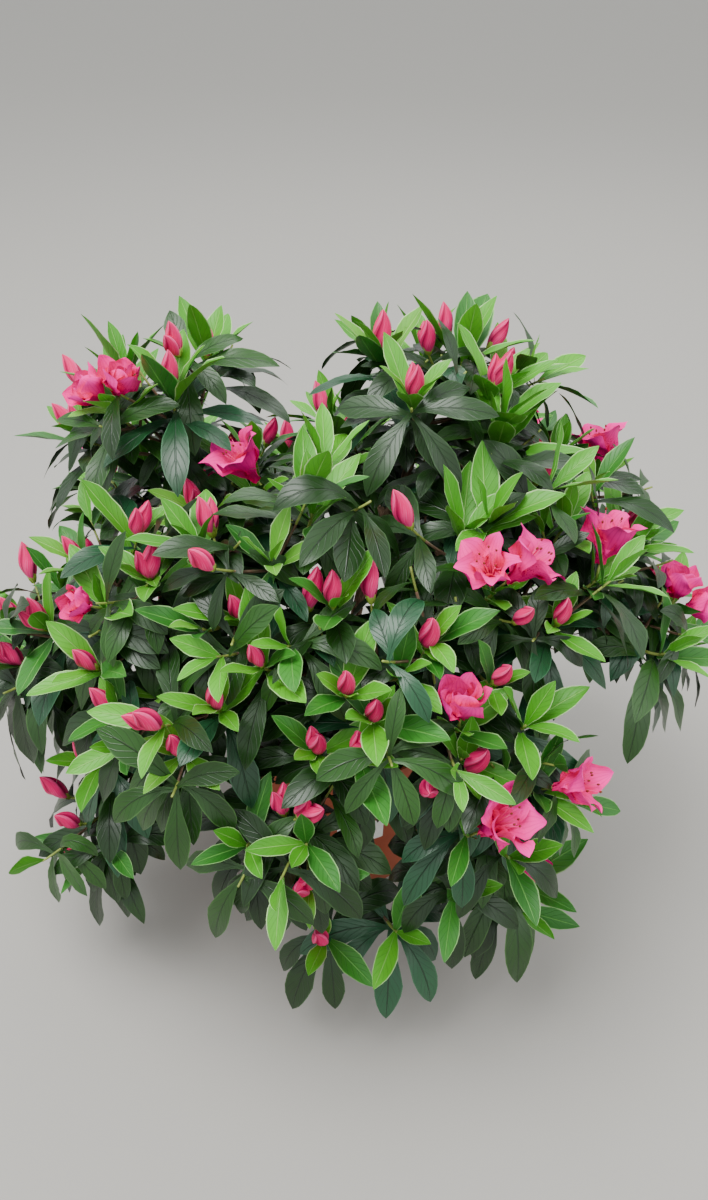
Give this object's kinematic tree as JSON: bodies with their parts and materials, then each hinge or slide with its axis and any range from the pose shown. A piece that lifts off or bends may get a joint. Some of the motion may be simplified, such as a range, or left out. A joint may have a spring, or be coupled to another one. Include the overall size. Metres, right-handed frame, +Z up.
{
  "type": "azalea shrub in a pot",
  "caption": "Low, wide flowering azalea shrub with two peaks, a short trunk, arching boughs and drooping whorls of leaves, growing in a round plastic nursery pot.",
  "frame": {"origin": "centre of the pot's flat underside, on the surface that the pot stands on", "axes": "+Z up along the pot's axis, +X to the right as the fuller front is looked at, -Y out of that front"},
  "size_m": [0.6611, 0.5917, 0.5457],
  "materials": {
    "pot_plastic": "terracotta-coloured moulded plastic, satin, slightly dusty",
    "peat_soil": "dark, damp, crumbly peat potting soil",
    "bark": "dull grey-brown bark with fine lengthwise furrows",
    "foliage": "slightly glossy dark green leaves with light yellow-green young ones and hot pink blossom"
  },
  "bodies": {
    "root": {"pot": "pot_plastic", "soil": "peat_soil", "trunk": "bark", "bough_left_peak": "bark", "bough_right_peak": "bark", "bough_front_upper": "bark", "bough_left_mid": "bark", "bough_right_front": "bark", "bough_front_right": "bark", "bough_right_back": "bark", "bough_back": "bark", "bough_left_side": "bark", "bough_low_front": "bark", "bough_saddle": "bark", "bough_left_back": "bark", "bough_back_top": "bark", "bough_right_shoulder": "bark", "bough_centre_left": "bark", "bough_centre_front": "bark", "bough_front_mid": "bark", "bough_front_centre": "bark", "bough_left_front": "bark", "bough_left_far": "bark", "bough_right_upper": "bark", "bough_right_far": "bark", "bough_right_skirt": "bark", "bough_right_side": "bark", "bough_back_right_skirt": "bark", "bough_back_left": "bark", "bough_left_skirt": "bark", "bough_back_left_skirt": "bark", "leaves_left_peak": "foliage", "leaves_right_peak": "foliage", "leaves_front_upper": "foliage", "leaves_left_mid": "foliage", "leaves_right_front": "foliage", "leaves_front_right": "foliage", "leaves_right_back": "foliage", "leaves_back": "foliage", "leaves_left_side": "foliage", "leaves_low_front": "foliage", "leaves_saddle": "foliage", "leaves_left_back": "foliage", "leaves_back_top": "foliage", "leaves_right_shoulder": "foliage", "leaves_centre_left": "foliage", "leaves_centre_front": "foliage", "leaves_front_mid": "foliage", "leaves_front_centre": "foliage", "leaves_left_front": "foliage", "leaves_left_far": "foliage", "leaves_right_upper": "foliage", "leaves_right_far": "foliage", "leaves_right_skirt": "foliage", "leaves_right_side": "foliage", "leaves_back_right_skirt": "foliage", "leaves_back_left": "foliage", "leaves_left_skirt": "foliage", "leaves_back_left_skirt": "foliage"}
  },
  "joints": []
}
